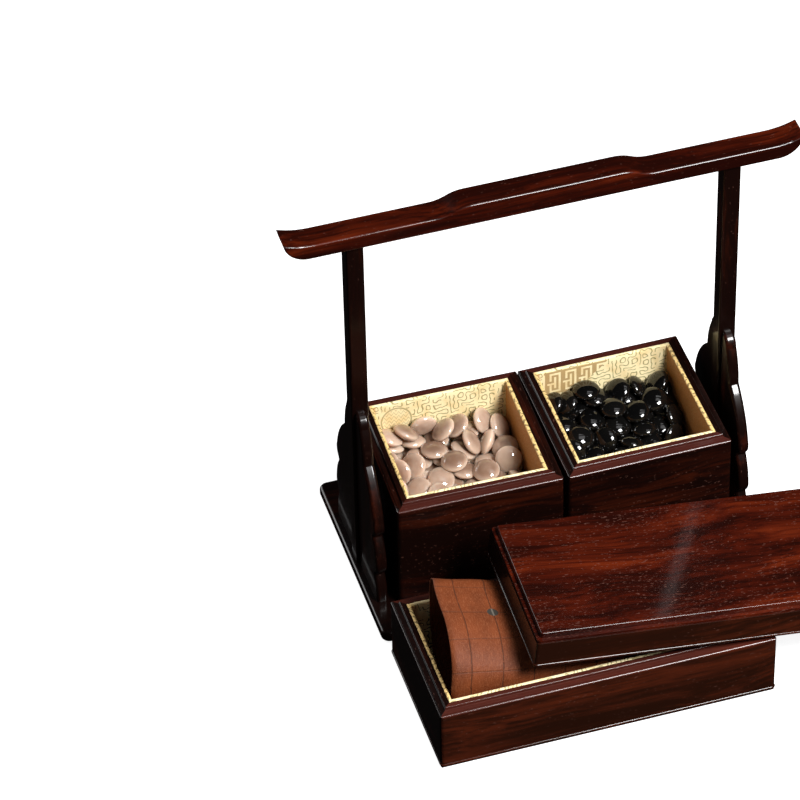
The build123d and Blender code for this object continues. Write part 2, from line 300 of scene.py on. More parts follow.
def rosewood_group():
    """Rosewood figure along X.

    Slow waves bend the grain; broad bands, streaks and fine lines follow it, and short pale
    pores lie in it. Puts out the colour, a pore mask and a height.
    """
    inputs = {"Grain": VECTOR, "Lightness": FLOAT, "Pore Density": FLOAT}
    inputs |= dict.fromkeys(WOOD_TONES, COLOUR)
    outputs = {"Color": COLOUR, "Pores": FLOAT, "Height": FLOAT}
    group, n, given, out = new_group("rosewood_figure", inputs, outputs)
    grain = given["Grain"]
    wave = n.stretched(grain, (7.0, 16.0, 16.0), 2.0)
    bend = n.times(n.minus(wave, 0.5), 0.03)
    shift = n.add("ShaderNodeCombineXYZ", {"X": 0.0, "Y": bend, "Z": bend}).outputs[0]
    bent = n.vector("ADD", grain, shift)
    broad = n.stretched(bent, (5.0, 42.0, 42.0), 3.0, 0.55)
    streak = n.stretched(bent, (11.0, 300.0, 300.0), 5.0, 0.62)
    fine = n.stretched(bent, (55.0, 1500.0, 1500.0), 2.0)
    tone = n.times(broad, 0.48)
    tone = n.math("MULTIPLY_ADD", streak, 0.36, tone)
    tone = n.math("MULTIPLY_ADD", fine, 0.16, tone)
    low = n.minus(0.60, n.times(given["Lightness"], 0.26))
    figure = n.step(tone, low, n.math("ADD", low, 0.18))
    glow = n.times(n.step(broad, 0.5, 0.72), n.step(streak, 0.38, 0.62))
    glow = n.times(glow, given["Lightness"])
    dots = n.stretched(bent, (300.0, 880.0, 880.0), 1.0)
    patch = n.stretched(grain, (14.0, 30.0, 30.0), 2.0)
    edge = n.minus(0.775, n.times(given["Pore Density"], patch))
    pores = n.step(dots, edge, n.math("ADD", edge, 0.035))
    colour = n.blend(figure, given["Dark"], given["Light"])
    colour = n.blend(glow, colour, given["Ember"])
    n.feed(out["Color"], n.blend(n.times(pores, 0.42), colour, given["Pore Colour"]))
    n.feed(out["Pores"], pores)
    n.feed(out["Height"], n.minus(n.times(fine, 0.25), pores))
    return group


def brocade_group():
    """Silk brocade over texture places in metres.

    Scroll lines cover it, and one large motif lies at its place. On the side walls, where one
    input is 1, the cloth is painted a darker amber with fainter lines as shade, and its top edge
    is speckled. Puts out the colour, a gold mask and a height.
    """
    inputs = dict.fromkeys(("Cloth", "Motif Place", "Motif Reach"), VECTOR)
    inputs |= dict.fromkeys(("Ground", "Line", "Gold"), COLOUR)
    inputs |= {"Painted Side Shade": FLOAT, "Squared": FLOAT}
    outputs = {"Color": COLOUR, "Gold": FLOAT, "Height": FLOAT}
    group, n, given, out = new_group("brocade_weave", inputs, outputs)
    tan, shaded_amber, cell = (0.46, 0.29, 0.11, 1), (0.36, 0.105, 0.002, 1), 0.0070
    cloth = given["Cloth"]
    u, v = n.parts(cloth)[:2]
    motif = n.vector("SUBTRACT", cloth, given["Motif Place"])
    inside_motif, bands = motif_bands(n, motif, given["Motif Reach"], given["Squared"])
    lines = cloud_lines(n, u, v, cell)
    lines = n.times(lines, n.minus(1.0, inside_motif))
    threads = n.stretched(cloth, (2600.0, 5200.0, 1.0), 1.0)
    glint = n.stretched(cloth, (420.0, 900.0, 1.0), 2.0)
    satin = n.stretched(cloth, (75.0, 75.0, 1.0), 2.0)
    gilded = n.times(n.step(satin, 0.42, 0.68), 0.45)
    gilded = n.math("MULTIPLY_ADD", n.step(glint, 0.4, 0.65), 0.15, gilded)
    ground = n.blend(gilded, given["Ground"], given["Gold"])
    colour = n.blend(n.times(lines, 0.85), ground, given["Line"])
    motif_colour = n.blend(given["Squared"], given["Line"], tan)
    colour = n.blend(n.times(bands, 0.85), colour, motif_colour)
    edge_dots = n.stretched(cloth, (330.0, 260.0, 1.0), 1.0)
    rim = n.step(n.math("ABSOLUTE", v), 0.0026, 0.0018)
    specks = n.times(n.step(edge_dots, 0.52, 0.58), 0.8)
    strip = n.blend(specks, given["Gold"], (0.12, 0.07, 0.02, 1))
    # Painted shade: on the side walls the cloth turns a darker amber, with fainter lines and a little
    # gold; its top strip stays gold
    glinting = n.times(n.step(glint, 0.35, 0.7), 0.2)
    shaded_side_colour = n.blend(glinting, shaded_amber, given["Gold"])
    shaded_side_colour = n.blend(n.times(lines, 0.2), shaded_side_colour, given["Line"])
    shaded_side_colour = n.blend(rim, shaded_side_colour, strip)
    colour = n.blend(n.times(given["Painted Side Shade"], 0.97), colour, shaded_side_colour)
    shade = n.math("MULTIPLY_ADD", threads, 0.28, 0.86)
    n.feed(out["Color"], n.vector("SCALE", colour, (0, 0, 0), (0, 0, 0), shade))
    n.feed(out["Gold"], n.math("MAXIMUM", bands, gilded))
    n.feed(out["Height"], n.math("MULTIPLY_ADD", threads, 0.4, n.math("ADD", lines, bands)))
    return group


def cloud_lines(n, u, v, cell):
    """Mask of broken, angular scroll lines over square cells turned an eighth of a circle.

    Each cell holds two arcs about opposite corners, measured with a power norm that makes them
    angular; a random turn joins them from cell to cell, and some cells stay empty.
    """
    along = n.math("DIVIDE", n.math("ADD", u, v), cell)
    across = n.math("DIVIDE", n.minus(u, v), cell)
    place = n.add("ShaderNodeCombineXYZ", {"X": along, "Y": across, "Z": 0.0}).outputs[0]
    wobble = n.add("ShaderNodeTexNoise", {"Vector": place, "Scale": 0.55, "Detail": 1.0})
    wobble = n.vector("SUBTRACT", wobble.outputs["Color"], (0.5, 0.5, 0.5))
    place = n.vector("ADD", place, n.vector("SCALE", wobble, (0, 0, 0), (0, 0, 0), 1.1))
    cell_number = {"Vector": n.vector("FLOOR", place)}
    chance = n.add("ShaderNodeTexWhiteNoise", cell_number, noise_dimensions="2D")
    inside_x, y = n.parts(n.vector("FRACTION", place))[:2]
    turn = n.math("GREATER_THAN", chance.outputs["Value"], 0.5)
    x = n.apart(turn, inside_x)
    reaches, norm = [], 1.35
    for corner_x, corner_y in ((x, y), (n.minus(1.0, x), n.minus(1.0, y))):
        powers = n.math("ADD", n.math("POWER", corner_x, norm), n.math("POWER", corner_y, norm))
        reaches.append(n.apart(n.math("POWER", powers, 1 / norm), 0.5))
    arcs = n.math("MINIMUM", *reaches)
    colour = n.add("ShaderNodeSeparateColor", {"Color": chance.outputs["Color"]})
    kept = n.math("GREATER_THAN", colour.outputs[2], 0.24)
    return n.times(n.step(arcs, 0.13, 0.05), kept)


def motif_bands(n, motif, reach, squared):
    """Masks of the motif's ground and of its bands.

    Round, it is a ring about a weave of zigzags. Squared, it is a row of frets: rings of bars
    within a cell, each with a gate on its right and a bar that runs in beside the gate; the
    row's right end is cut off at a slant.
    """
    x, y = n.parts(motif)[:2]
    half_x, half_y = n.parts(reach)[:2]
    share_x, share_y = n.math("DIVIDE", x, half_x), n.math("DIVIDE", y, half_y)
    block = n.math("MAXIMUM", n.math("ABSOLUTE", share_x), n.math("ABSOLUTE", share_y))
    slant = n.math("MULTIPLY_ADD", share_y, 0.45, n.minus(0.6, share_x))
    block = n.math("MAXIMUM", block, slant)
    away = n.vector("LENGTH", n.vector("DIVIDE", motif, n.vector("ADD", reach, (0, 0, 1.0))))
    share = n.add("ShaderNodeMix", {0: squared, 2: away, 3: block}).outputs[0]
    inner = n.math("LESS_THAN", share, 1.0)
    ring = n.step(n.apart(away, 0.93), 0.07, 0.03)
    zigzag = n.math("PINGPONG", n.math("DIVIDE", x, 0.0042), 0.5)
    steps = n.math("FRACT", n.math("MULTIPLY_ADD", zigzag, 1.6, n.math("DIVIDE", y, 0.0040)))
    weave = n.step(n.apart(steps, 0.5), 0.16, 0.09)
    weave = n.times(weave, n.math("LESS_THAN", away, 0.84))
    roundel = n.times(n.math("MAXIMUM", ring, n.times(weave, 0.7)), 0.75)
    fret_half, bar = 0.007, 0.002
    fret_x = n.math("FRACT", n.math("DIVIDE", x, 2 * fret_half))
    fret_x = n.times(n.minus(fret_x, 0.5), 2 * fret_half)
    edge_x = n.minus(fret_half, n.math("ABSOLUTE", fret_x))
    edge_y = n.minus(half_y, n.math("ABSOLUTE", y))
    rings = n.math("FRACT", n.math("DIVIDE", n.math("MINIMUM", edge_x, edge_y), 2 * bar))
    rings = n.math("LESS_THAN", rings, 0.5)
    right = n.math("GREATER_THAN", fret_x, bar / 2)
    below = n.times(n.math("GREATER_THAN", y, -bar), n.math("LESS_THAN", y, 0.0))
    above = n.times(n.math("GREATER_THAN", y, 0.0), n.math("LESS_THAN", y, bar))
    frets = n.times(rings, n.minus(1.0, n.times(right, above)))
    frets = n.math("MAXIMUM", frets, n.times(right, below))
    bands = n.add("ShaderNodeMix", {0: squared, 2: roundel, 3: frets}).outputs[0]
    return inner, n.times(bands, inner)


def new_material(name):
    """An empty material, as (material, nodes, its Principled shader)."""
    material = bpy.data.materials.new(name)
    material.use_nodes = True
    tree = material.node_tree
    return material, Nodes(tree), tree.nodes["Principled BSDF"]


def wood_material(name, group, turn, tone, lightness, density, gloss=0.3, coat=0.5, rim=None):
    """Waxed rosewood whose grain runs along X turned by that rotation.

    Above the height called rim it is painted redder, as light and sheen on the rim's moulding.
    """
    material, n, shader = new_material(name)
    place = n.add("ShaderNodeTexCoord").outputs["Object"]
    mapped = n.add("ShaderNodeMapping", {"Vector": place, "Rotation": turn}).outputs[0]
    values = {socket: (*colour, 1) for socket, colour in zip(WOOD_TONES, tone)}
    values |= {"Lightness": lightness, "Pore Density": density, "Grain": mapped}
    figure = n.add("ShaderNodeGroup", values, node_tree=group).outputs
    colour = figure["Color"]
    if rim is not None:
        # Painted light: above the rim height the wood is blended redder, standing in for light and sheen
        # on the moulding's upward faces
        painted_rim_light = n.times(n.step(n.parts(place)["Z"], rim, rim + 1 * MM), 0.55)
        colour = n.blend(painted_rim_light, colour, (0.075, 0.016, 0.011, 1))
    rough = n.math("MULTIPLY_ADD", n.noise(place, 60.0, 3.0), 0.12, gloss)
    looks = {
        "Base Color": colour,
        "Roughness": n.math("MULTIPLY_ADD", figure["Pores"], 0.25, rough),
        "Specular IOR Level": 0.1,
        "Coat Weight": coat,
        "Coat Roughness": 0.1,
        "Normal": n.bump(figure["Height"], 0.04 * MM, 0.4),
    }
    n.fill(shader, looks)
    return material


def wood_materials():
    """One rosewood per direction of the grain and depth of colour, by name."""
    group = rosewood_group()
    along, deep, upright = (0, 0, 0), (0, 0, math.radians(90)), (0, math.radians(90), 0)
    lid_along = (0, 0, -LID_TURN)
    pore = (0.13, 0.055, 0.04)
    darkest = ((0.005, 0.0014, 0.0009), (0.020, 0.0036, 0.0016), (0.045, 0.007, 0.002), pore)
    brown = ((0.017, 0.0045, 0.0020), (0.056, 0.0105, 0.0042), (0.09, 0.015, 0.004), pore)
    red = ((0.010, 0.0014, 0.0007), (0.042, 0.0042, 0.0012), (0.11, 0.014, 0.0028), pore)
    box_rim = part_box("right_box_front_wall")[1].z - RIM_STEP
    tray_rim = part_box("tray_front_wall")[1].z - RIM_STEP
    # grain, tone, lightness, pore density, and what differs from the usual wax; rim is the height above
    # which light is painted
    kinds = {
        "box_along": (along, darkest, 0.55, 0.15, {"rim": box_rim}),
        "box_deep": (deep, darkest, 0.5, 0.13, {}),
        "tray_along": (along, brown, 0.6, 0.13, {"rim": tray_rim}),
        # The tray's end walls take the darkest tone, which paints shade on its left face, turned from the
        # light
        "tray_deep": (deep, darkest, 0.5, 0.13, {}),
        "lid_along": (lid_along, red, 0.75, 0.23, {"coat": 0.3}),
        "lid_rail": (lid_along, brown, 0.25, 0.1, {}),
        # The lid's end rails take the darkest tone, which paints shade on its left rail, turned from the
        # light
        "lid_deep": (deep, darkest, 0.3, 0.1, {}),
        "upright": (upright, darkest, 0.35, 0.08, {}),
        "base": (along, darkest, 0.4, 0.08, {}),
        "handle": (along, red, 0.6, 0.1, {"gloss": 0.24}),
    }
    return {
        kind: wood_material(f"rosewood_{kind}", group, *values, **wax)
        for kind, (*values, wax) in kinds.items()
    }


def wood_kind(name):
    """Which rosewood a wooden node is made of."""
    single = {"handle_beam": "handle", "base_plate": "base", "lid_top_board": "lid_along"}
    if name in single:
        return single[name]
    if name.endswith(("post", "spandrel")):
        return "upright"
    across = name.endswith(("left_wall", "right_wall", "left_rail", "right_rail"))
    if name.startswith("lid"):
        return "lid_deep" if across else "lid_rail"
    tier = "tray" if name.startswith("tray") else "box"
    return f"{tier}_{'deep' if across else 'along'}"


def brocade_material(name, group, settings, motif, reach, squared):
    """Gold brocade with its large motif at one place on the cloth."""
    material, n, shader = new_material(name)
    values = {
        "Cloth": n.add("ShaderNodeTexCoord").outputs["UV"],
        # This attribute is 1 on the side walls and paints shade on their cloth
        "Painted Side Shade": n.attribute("painted_side_shade"),
        "Ground": (*settings.silk_colour, 1),
        "Line": (*settings.line_colour, 1),
        "Gold": (*settings.gold_colour, 1),
        "Motif Place": (*motif, 0.0),
        "Motif Reach": (*reach, 0.0),
        "Squared": squared,
    }
    weave = n.add("ShaderNodeGroup", values, node_tree=group).outputs
    gold = n.times(weave["Gold"], 0.2)
    looks = {
        "Base Color": weave["Color"],
        "Roughness": n.minus(0.62, gold),
        "Metallic": gold,
        "Sheen Weight": 0.05,
        "Specular IOR Level": 0.2,
        "Normal": n.bump(weave["Height"], 0.2 * MM, 0.7),
    }
    n.fill(shader, looks)
    return material


def leather_material(settings):
    """Brown leather: pebbled grain, soft mottling, and a pressed grid of lines with one stud."""
    material, n, shader = new_material("printed_leather")
    cloth = n.add("ShaderNodeTexCoord").outputs["UV"]
    at = n.parts(cloth)
    pitch, margin = settings.line_pitch, (settings.board_side - 18 * settings.line_pitch) / 2
    wander = n.times(n.minus(n.noise(cloth, 160.0, 2.0), 0.5), 0.0006)
    lines = []
    for axis in ("X", "Y"):
        steps = n.math("DIVIDE", n.minus(at[axis], margin), pitch)
        distance = n.times(n.math("PINGPONG", steps, 0.5), pitch)
        lines.append(n.step(n.math("ADD", distance, wander), 0.0007, 0.0002))
    along, around = lines
    worn = n.step(n.noise(cloth, 330.0, 3.0), 0.26, 0.42)
    pressed = n.times(n.math("MAXIMUM", n.times(along, 0.5), around), worn)
    grain = n.add("ShaderNodeTexVoronoi", {"Vector": cloth, "Scale": 950.0, "Randomness": 1.0})
    pebbles = grain.outputs["Distance"]
    mottle = n.noise(cloth, 38.0, 4.0, 0.6)
    streaks = n.stretched(cloth, (260.0, 900.0, 1.0), 3.0)
    fine = n.noise(cloth, 1500.0, 2.0)
    bloom = (*settings.leather_bloom, 1)
    dark, light = (*settings.leather_dark, 1), (*settings.leather_light, 1)
    brown = n.blend(n.step(mottle, 0.3, 0.7), dark, light)
    brown = n.blend(n.times(n.step(streaks, 0.5, 0.7), 0.35), brown, bloom)
    brown = n.blend(n.times(n.step(fine, 0.52, 0.7), 0.5), brown, bloom)
    inked = n.times(n.math("MAXIMUM", n.times(along, 0.6), around), worn)
    colour = n.blend(n.times(inked, 0.7), brown, (0.040, 0.014, 0.007, 1))
    stud, stud_radius, slit_half = (LINE_REACH * MM - 2 * pitch, margin + pitch, 0.0), 4.0 * MM, 1.0 * MM
    away = n.vector("MULTIPLY", n.vector("SUBTRACT", cloth, stud), (1.0, 0.8, 0.0))
    dot = n.step(n.vector("LENGTH", away), stud_radius, 3.3 * MM)
    slit = n.step(n.apart(at["Y"], stud[1]), slit_half, 0.4 * MM)
    dot_colour = n.blend(slit, (0.034, 0.030, 0.024, 1), (0.12, 0.105, 0.085, 1))
    looks = {
        "Base Color": n.blend(dot, colour, dot_colour),
        "Roughness": n.math("MULTIPLY_ADD", fine, 0.2, 0.5),
        "Specular IOR Level": 0.2,
        "Normal": n.bump(n.minus(n.times(pebbles, 0.7), pressed), 0.3 * MM, 0.8),
    }
    n.fill(shader, looks)
    return material


def stone_material(name, dark, light, rim, subsurface, coat):
    """Polished agate: cloudy, different from stone to stone, and painted paler towards its thin rim as
    light glowing through it.
    """
    material, n, shader = new_material(name)
    place = n.add("ShaderNodeTexCoord").outputs["Object"]
    chance = n.attribute("shade")
    moved = n.add("ShaderNodeCombineXYZ", {"X": chance, "Y": chance, "Z": chance}).outputs[0]
    cloud = n.noise(n.vector("ADD", place, moved), 110.0, 3.0)
    tone = n.math("ADD", n.times(cloud, 0.5), n.times(chance, 0.5))
    tint = n.blend(n.step(tone, 0.2, 0.8), (*dark, 1), (*light, 1))
    looks = {
        # Painted light: towards the rim the colour turns paler, standing in for light glowing through the
        # thin edge
        "Base Color": n.blend(n.times(n.attribute("rim"), 0.7), tint, (*rim, 1)),
        "Roughness": n.math("MULTIPLY_ADD", cloud, 0.04, 0.04),
        "Subsurface Weight": subsurface,
        "Subsurface Radius": (1.0, 0.72, 0.6),
        "Subsurface Scale": 10 * MM,
        "Coat Weight": coat,
        "Coat Roughness": 0.03,
    }
    n.fill(shader, looks)
    return material


# ---------------------------------------------------------------- foot beads


def foot_bead(name, inner, height, seat, material, body):
    """A round bead let into the foot of a rectangle of walls.

    The path is a rectangle whose corners are quarter circles: corner centre plus the radius
    along the path's outward direction. The section is a circle about the path, pushed outward
    by the cosine and upward by the sine of its own angle. The seat turns and moves it.
    """
    reach = (inner[0] / 2 + WALL, inner[1] / 2 + WALL)
    quarter = np.linspace(0, math.pi / 2, 7)
    turn = np.concatenate([quarter + k * math.pi / 2 for k in range(4)])
    outward_x, outward_y = np.cos(turn), np.sin(turn)
    corner_x = np.repeat([1, -1, -1, 1], len(quarter)) * (reach[0] - CORNER)
    corner_y = np.repeat([1, 1, -1, -1], len(quarter)) * (reach[1] - CORNER)
    spin = np.linspace(0, 2 * math.pi, 13)[:-1]
    out = CORNER + BEAD_OUT + BEAD_RADIUS * np.cos(spin)
    x = corner_x[:, None] + outward_x[:, None] * out
    y = corner_y[:, None] + outward_y[:, None] * out
    z = np.broadcast_to(height + BEAD_RADIUS * np.sin(spin), x.shape)
    points = np.stack([x, y, z], -1).reshape(-1, 3) @ np.array(seat.to_3x3()).T
    points += np.array(seat.translation)
    piece = outward(mesh_piece(name, points, [grid_faces(len(turn), len(spin), True, True)]))
    finish_piece(piece, material, body, "wood")


# ---------------------------------------------------------------- linings


def lining_section(bottom, rim):
    """Closed section of a wall pad as (depth, height, run) rows.

    It goes up the glued back, over a rounded top, down the face and back along the bottom;
    run is the length along it, counted from the top's middle and growing down the face.
    """
    half, crown = LINING_DEPTH / 2, 1.3 * MM
    turn = np.linspace(math.pi, 0, 11)
    top = np.stack([half + half * np.cos(turn), rim - crown + crown * np.sin(turn)], 1)
    heights = np.linspace(rim - crown, bottom, 26)[1:]
    face = np.stack([np.full(len(heights), LINING_DEPTH), heights], 1)
    back = np.array([(0.0, bottom), (0.0, (rim + bottom) / 2)])
    line = np.concatenate([top, face, back])
    run = np.concatenate([[0], np.cumsum(np.linalg.norm(np.diff(line, axis=0), axis=1))])
    return line[:, 0], line[:, 1], run - run[5]


def wall_pads(name, inner, place, turn, rim, material, body, nodes):
    """Four mitred wall pads: the section is carried round a rectangle.

    At depth d a side of length L runs from -(L/2 - d) to L/2 - d; the face swells between its
    edges by the product of two even powers, and is turned and moved to its box.
    """
    depth, height, run = lining_section(place.z, rim)
    on_face = depth > LINING_DEPTH * 0.98
    level = (height - height.min()) / (height.max() - height.min()) * 2 - 1
    along, power, bottom_run = np.linspace(-1, 1, 40)[:-1], 8, 20 * MM
    fullness = LINING_SWELL * (1 - along[:, None] ** power) * (1 - level**power) * on_face
    sides, patterns, start = [], [], 0.0
    for quarter in range(4):
        length, width = inner if quarter % 2 == 0 else inner[::-1]
        pushed = depth + fullness
        x = along[:, None] * (length / 2 - depth)
        y = -(width / 2 - pushed)
        spin = quarter * math.pi / 2
        points = (x * math.cos(spin) - y * math.sin(spin), x * math.sin(spin) + y * math.cos(spin))
        sides.append(np.stack([*points, np.broadcast_to(height, x.shape)], -1))
        u = start + (along[:, None] + 1) / 2 * length
        patterns.append(np.stack(np.broadcast_arrays(u, run[None, :]), -1))
        start += length
    points = np.concatenate(sides)
    pattern = np.concatenate(patterns)
    last = pattern[:1] + np.array([start, 0.0])
    pattern = np.concatenate([pattern, last])
    closing = pattern[:, -1:] + np.array([0.0, bottom_run])
    pattern = np.concatenate([pattern, closing], 1)
    points = turned(points.reshape(-1, 3), place, turn)
    faces = grid_faces(4 * len(along), len(depth), True, True)
    piece = outward(mesh_piece(name, points, [faces], grid_uvs(pattern)))
    piece.data.set_sharp_from_angle(angle=SHARP_ANGLE)
    # The side walls get 1, which paints shade on their cloth
    painted_side_shade = np.tile(np.repeat([0.0, 1.0], len(along) * len(depth)), 2)
    add_values(piece, "painted_side_shade", painted_side_shade)
    finish_piece(piece, material, body, "lining", *nodes)


def turned(points, place, angle):
    """Points turned about Z and moved to a place; their own height is kept."""
    cos, sin = math.cos(angle), math.sin(angle)
    x, y = points[:, 0], points[:, 1]
    return np.stack([place.x + x * cos - y * sin, place.y + x * sin + y * cos, points[:, 2]], 1)


def floor_pad(name, inner, place, turn, top, material, body, nodes):
    """A thin floor pad: a closed sheet whose height falls to its edge by an even power."""
    count, power, gap, lift = (40, 24), 12, 0.4 * MM, 0.05 * MM
    edge_share, middle_share = 0.35, 0.6
    u, v = np.meshgrid(np.linspace(-1, 1, count[0]), np.linspace(-1, 1, count[1]), indexing="ij")
    reach = (inner[0] / 2 - LINING_DEPTH - gap, inner[1] / 2 - LINING_DEPTH - gap)
    share = edge_share + middle_share * (1 - u**power) * (1 - v**power)
    upper = np.stack([u * reach[0], v * reach[1], place.z + (top - place.z) * share], -1)
    lower = upper * np.array([1, 1, 0]) + np.array([0, 0, place.z + lift])
    points = turned(np.concatenate([upper.reshape(-1, 3), lower.reshape(-1, 3)]), place, turn)
    sheet = grid_faces(*count)
    size = count[0] * count[1]
    index = np.arange(size).reshape(count)
    rim = np.concatenate([index[:-1, 0], index[-1, :-1], index[:0:-1, -1], index[0, :0:-1]])
    after = np.roll(rim, -1)
    band = np.stack([rim, after, after + size, rim + size], 1)
    faces = np.concatenate([sheet, sheet[:, ::-1] + size, band[:, ::-1]])
    uvs = np.tile(np.stack([u * reach[0], v * reach[1]], -1).reshape(-1, 2), (2, 1))[faces.ravel()]
    piece = outward(mesh_piece(name, points, [faces], uvs))
    piece.data.set_sharp_from_angle(angle=SHARP_ANGLE)
    finish_piece(piece, material, body, "lining", *nodes)


# ---------------------------------------------------------------- stones


def lens(diameter, thickness, sides, rings):
    """Double-convex stone, as points and faces.

    At angle f from the pole its radius is R sin f, and its height is half the thickness times
    cos f to the stone's power, up one side and down the other.
    """
    angle = np.linspace(0, math.pi, 2 * rings + 1)[1:-1]
    radius = diameter / 2 * np.sin(angle)
    height = thickness / 2 * np.sign(np.cos(angle)) * np.abs(np.cos(angle)) ** STONE_POWER
    spin = np.linspace(0, 2 * math.pi, sides, endpoint=False)
    ring = np.stack(
        [radius[:, None] * np.cos(spin), radius[:, None] * np.sin(spin), height[:, None] + 0 * spin], -1
    )
    poles = np.array([(0, 0, thickness / 2), (0, 0, -thickness / 2)])
    points = np.concatenate([ring.reshape(-1, 3), poles])
    quads = grid_faces(len(angle), sides, False, True)
    first, last = np.arange(sides), np.arange(sides) + (len(angle) - 1) * sides
    top = np.stack([np.full(sides, len(points) - 2), first, np.roll(first, -1)], 1)
    under = np.stack([np.full(sides, len(points) - 1), np.roll(last, -1), last], 1)
    return points, [quads, np.concatenate([top, under])]


def settle(count, size, inner, seed):
    """Lets stones fall into a box with rigid bodies and returns their transforms, in metres.

    The heap is made a hundred times as large, because the solver likes bodies a few units
    across, and gravity is a quarter of what that would give. They start on a grid of columns and
    rows, layer on layer, each a little aside and tilted. Everything made here is removed again.
    """
    scale, weakening = 100.0, 4
    diameter, thickness = size
    scene = bpy.context.scene
    rng = np.random.default_rng(seed)
    points, faces = lens(diameter * scale, thickness * scale, 12, 2)
    hull = mesh_piece("falling_stone", points, faces)
    mesh = hull.data
    bpy.data.objects.remove(hull)
    bpy.ops.rigidbody.world_add()
    world = scene.rigidbody_world
    world.substeps_per_frame = 6
    world.solver_iterations = 12
    world.point_cache.frame_start, world.point_cache.frame_end = 1, FALL_FRAMES
    gravity = tuple(scene.gravity)
    pull = 9.81 * scale / weakening
    scene.gravity = (0, pull * math.sin(HEAP_SLOPE), -pull * math.cos(HEAP_SLOPE))
    half = (inner[0] / 2 * scale, inner[1] / 2 * scale)
    made = []
    middle, half_height = 14, 15
    walls = [((0, 0, -1), (half[0] + 2, half[1] + 2, 1))]
    for side in (-1, 1):
        walls.append(((side * (half[0] + 1), 0, middle), (1, half[1] + 2, half_height)))
        walls.append(((0, side * (half[1] + 1), middle), (half[0] + 2, 1, half_height)))
    for place, reach in walls:
        bpy.ops.mesh.primitive_cube_add(size=2, location=place)
        wall = bpy.context.object
        wall.scale = reach
        made.append(wall)
        bpy.ops.rigidbody.object_add(type="PASSIVE")
        wall.rigid_body.collision_shape = "BOX"
        wall.rigid_body.friction = 0.35
    stones = []
    columns, rows = 4, 4
    spread, jitter, layer_step, lean = 0.93, 0.12, 1.35, 0.9
    for number in range(count):
        stone = bpy.data.objects.new(f"falling_{number}", mesh)
        scene.collection.objects.link(stone)
        layer, spot = divmod(number, columns * rows)
        column, row = spot % columns, spot // columns
        away = rng.uniform(-jitter, jitter, 2)
        stone.location = (
            (column - (columns - 1) / 2) * 2 * half[0] / columns * spread + away[0],
            (row - (rows - 1) / 2) * 2 * half[1] / rows * spread + away[1],
            1.0 + layer * layer_step,
        )
        tilt = rng.uniform(-lean, lean, 2)
        stone.rotation_euler = (tilt[0], tilt[1], rng.uniform(0, 6.28))
        stones.append(stone)
    bpy.context.view_layer.update()
    bpy.ops.object.select_all(action="DESELECT")
    for stone in stones:
        stone.select_set(True)
    bpy.context.view_layer.objects.active = stones[0]
    bpy.ops.rigidbody.objects_add(type="ACTIVE")
    for stone in stones:
        body = stone.rigid_body
        body.collision_shape = "CONVEX_HULL"
        body.use_margin, body.collision_margin = True, 0.01
        body.friction, body.restitution, body.mass = 0.3, 0.05, 0.005
        body.linear_damping, body.angular_damping = 0.05, 0.15
    for number in range(1, FALL_FRAMES + 1):
        scene.frame_set(number)
    graph = bpy.context.evaluated_depsgraph_get()
    found = np.array([np.array(stone.evaluated_get(graph).matrix_world) for stone in stones])
    for thing in stones + made:
        bpy.data.objects.remove(thing)
    bpy.ops.rigidbody.world_remove()
    scene.gravity = gravity
    scene.frame_set(1)
    found[:, :3, 3] /= scale
    return found


def heap_piece(name, transforms, size, seat, material, body, nodes):
    """All stones of a box in one mesh: those near the top are finely cut, the rest coarsely.

    The seat is the lining's underside, the box's turn and the lining's thickness. A stone's rim
    share, its radius over the whole one to the sixth power, sets how much painted glow it takes.
    """
    place, turn, lift = seat
    fine, coarse, fine_count = lens(*size, 32, 8), lens(*size, 12, 2), 90
    level = transforms[:, 2, 3]
    shown = level > np.sort(level)[-min(len(level), fine_count)]
    rng = np.random.default_rng(len(name))
    parts, faces_of, shades, rim_glow_shares, offset = [], [[], []], [], [], 0
    for chosen, (points, faces) in ((shown, fine), (~shown, coarse)):
        group = transforms[chosen]
        moved = np.einsum("nij,pj->npi", group[:, :3, :3], points) + group[:, None, :3, 3]
        parts.append(moved.reshape(-1, 3))
        steps = offset + np.arange(len(group))[:, None, None] * len(points)
        for kind, array in enumerate(faces):
            faces_of[kind].append((array[None] + steps).reshape(-1, array.shape[1]))
        shades.append(np.repeat(rng.random(len(group)), len(points)))
        rim_glow_shares.append(np.tile((np.hypot(points[:, 0], points[:, 1]) / (size[0] / 2)) ** 6, len(group)))
        offset += len(group) * len(points)
    points = np.concatenate(parts) + np.array([0, 0, place.z + lift])
    faces = [np.concatenate(arrays) for arrays in faces_of]
    piece = mesh_piece(name, turned(points, place, turn), faces)
    add_values(piece, "shade", np.concatenate(shades))
    add_values(piece, "rim", np.concatenate(rim_glow_shares))
    finish_piece(outward(piece), material, body, nodes[0].removesuffix("s"), *nodes)


# ---------------------------------------------------------------- leather board


def roll_curve(x, inset, turns):
    """One row across the rolled sheet, in millimetres: a squared oval of that inset, wound on.

    At angle t the point is (w |cos t|^p, h |sin t|^p) with p = 2 / squareness, and its crest
    leans; the half sizes w and h come from the stations and shrink by the inset. The quarter
    between the back and the top is squarer than the rest.
    """
    crest, half_width, square, lean = (
        np.interp(x, ROLL_STATIONS[:, 0], ROLL_STATIONS[:, k]) for k in range(1, 5)
    )
    half_height = (crest - ROLL_UNDERSIDE) / 2
    cos, sin = np.cos(turns), np.sin(turns)
    power = 2 / np.where((cos > 0) & (sin > 0), BACK_SQUARENESS, square)
    across = np.sign(cos) * np.abs(cos) ** power * (half_width - inset)
    rise = np.sign(sin) * np.abs(sin) ** power * (half_height - inset)
    rise = rise + lean * across * np.maximum(0, sin)
    return ROLL_MIDDLE_Y + across, ROLL_UNDERSIDE + half_height + rise


